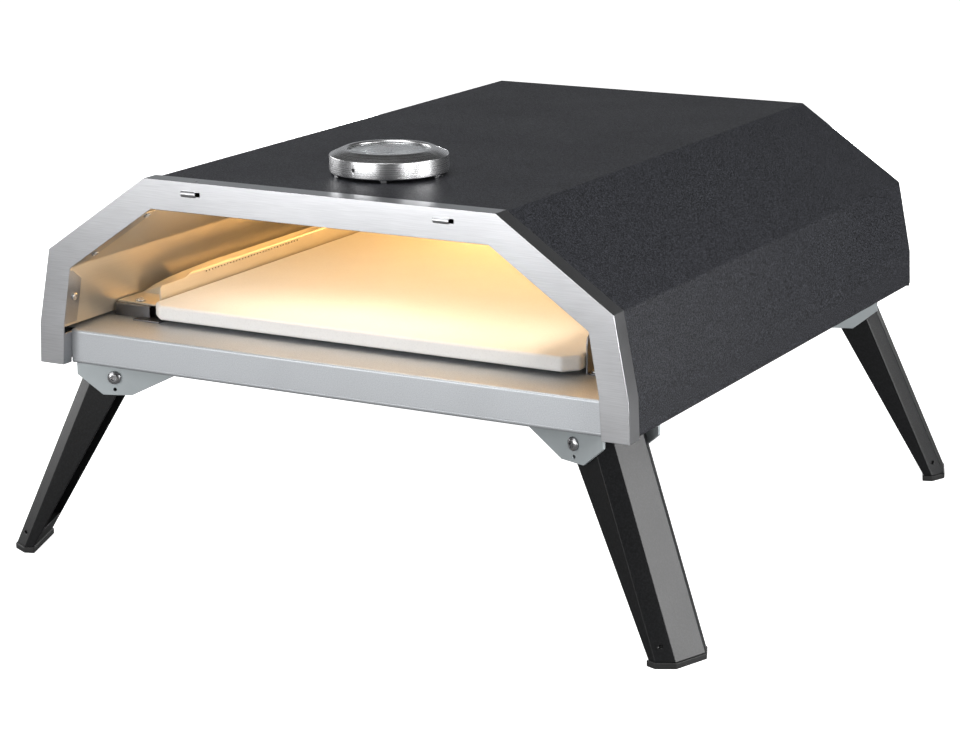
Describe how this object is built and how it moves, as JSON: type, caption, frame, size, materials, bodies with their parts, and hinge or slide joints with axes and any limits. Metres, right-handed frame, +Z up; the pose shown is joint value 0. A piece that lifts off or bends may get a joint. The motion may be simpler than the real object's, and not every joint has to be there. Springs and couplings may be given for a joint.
{
  "type": "portable gas pizza oven",
  "caption": "Low table-top pizza oven: bent dark hood, bright steel mouth, stone floor, side burner, rear knob, round thermometer on top, and splayed folding legs.",
  "frame": {"origin": "on the ground, under the middle of the whole oven's box", "axes": "+Z up; the mouth faces -Y; +X is to the right as seen from the mouth"},
  "size_m": [0.5092, 0.5028, 0.28],
  "materials": {
    "hood": "matt speckled charcoal powder coat",
    "frame": "brushed stainless steel",
    "liner": "plain stainless steel, warmed by the fire",
    "tray": "fine brushed stainless steel",
    "zinc": "bright zinc-plated steel",
    "dark_steel": "dark heat-stained steel",
    "blanket": "white ceramic fibre felt",
    "stone": "pale cordierite, matt",
    "steel": "plain steel",
    "brass": "turned brass",
    "black_plastic": "matt black heat-proof plastic",
    "porcelain": "glazed white porcelain",
    "lead": "red silicone insulation",
    "gauge_ring": "turned and brushed stainless steel",
    "gauge_glass": "clear flat glass",
    "gauge_face": "pale satin dial",
    "gauge_needle": "red",
    "leg_paint": "textured black powder coat",
    "foot_rubber": "black moulded rubber"
  },
  "bodies": {
    "oven": {"front_frame": "frame", "hood_shell": "hood", "inner_liner": "liner", "insulation_blanket": "blanket", "rear_outer_panel": "hood", "rear_inner_panel": "liner", "base_tray": "tray", "base_pan": "hood", "floor_insulation": "blanket", "stone_rails": "tray", "flame_guard": "liner", "guard_bracket": "dark_steel", "stone_clip": "dark_steel", "burner_tube": "steel", "burner_saddle": "steel", "burner_venturi": "steel", "gas_jet": "brass", "gas_valve": "zinc", "valve_bracket": "zinc", "gas_inlet": "brass", "igniter_module": "black_plastic", "electrode_insulator": "porcelain", "electrode_rod": "steel", "igniter_wire": "lead", "thermometer_bezel": "gauge_ring", "thermometer_glass": "gauge_glass", "thermometer_dial": "gauge_face", "thermometer_probe": "steel", "thermometer_nut": "steel", "pivot_nuts": "zinc", "return_spring": "steel", "knob_plate": "frame", "liner_screws": "steel", "chamber_screws": "zinc", "rear_screws": "steel", "bracket_screws": "zinc", "bracket_front_left": "zinc", "pivot_bolt_front_left": "zinc", "bracket_front_right": "zinc", "pivot_bolt_front_right": "zinc", "bracket_rear_left": "zinc", "pivot_bolt_rear_left": "zinc", "bracket_rear_right": "zinc", "pivot_bolt_rear_right": "zinc"},
    "leg_front_left_body": {"leg_front_left": "leg_paint", "foot_front_left": "foot_rubber"},
    "leg_front_right_body": {"leg_front_right": "leg_paint", "foot_front_right": "foot_rubber"},
    "leg_rear_left_body": {"leg_rear_left": "leg_paint", "foot_rear_left": "foot_rubber"},
    "leg_rear_right_body": {"leg_rear_right": "leg_paint", "foot_rear_right": "foot_rubber"},
    "stone": {"pizza_stone": "stone"},
    "push": {"push_collar": "steel"},
    "knob": {"valve_stem": "steel", "control_knob": "black_plastic"},
    "needle": {"thermometer_needle": "gauge_needle"}
  },
  "joints": [
    {"name": "leg_front_left_fold", "type": "hinge", "parent": "oven", "child": "leg_front_left_body", "pos_m": [-0.1774, -0.20697, 0.125], "axis": [0.342, -0.9397, 0], "range_deg": [0, 113]},
    {"name": "leg_front_right_fold", "type": "hinge", "parent": "oven", "child": "leg_front_right_body", "pos_m": [0.1774, -0.20697, 0.125], "axis": [0.342, 0.9397, 0], "range_deg": [0, 113]},
    {"name": "leg_rear_left_fold", "type": "hinge", "parent": "oven", "child": "leg_rear_left_body", "pos_m": [-0.1774, 0.18546, 0.125], "axis": [-0.342, -0.9397, 0], "range_deg": [0, 113]},
    {"name": "leg_rear_right_fold", "type": "hinge", "parent": "oven", "child": "leg_rear_right_body", "pos_m": [0.1774, 0.18546, 0.125], "axis": [-0.342, 0.9397, 0], "range_deg": [0, 113]},
    {"name": "stone_slide", "type": "slide", "parent": "oven", "child": "stone", "axis": [0, -1, 0], "range_m": [0, 0.4]},
    {"name": "knob_push", "type": "slide", "parent": "oven", "child": "push", "axis": [0, -1, 0], "range_m": [0, 0.003], "stiffness_N_per_m": 400, "springref_m": -0.005, "deforming": ["return_spring"]},
    {"name": "knob_turn", "type": "hinge", "parent": "push", "child": "knob", "pos_m": [-0.185, 0.24224, 0.1653], "axis": [0, 1, 0], "range_deg": [0, 180]},
    {"name": "needle_turn", "type": "hinge", "parent": "oven", "child": "needle", "pos_m": [0, -0.15676, 0.2725], "axis": [0, 0, -1], "range_deg": [0, 270]}
  ]
}
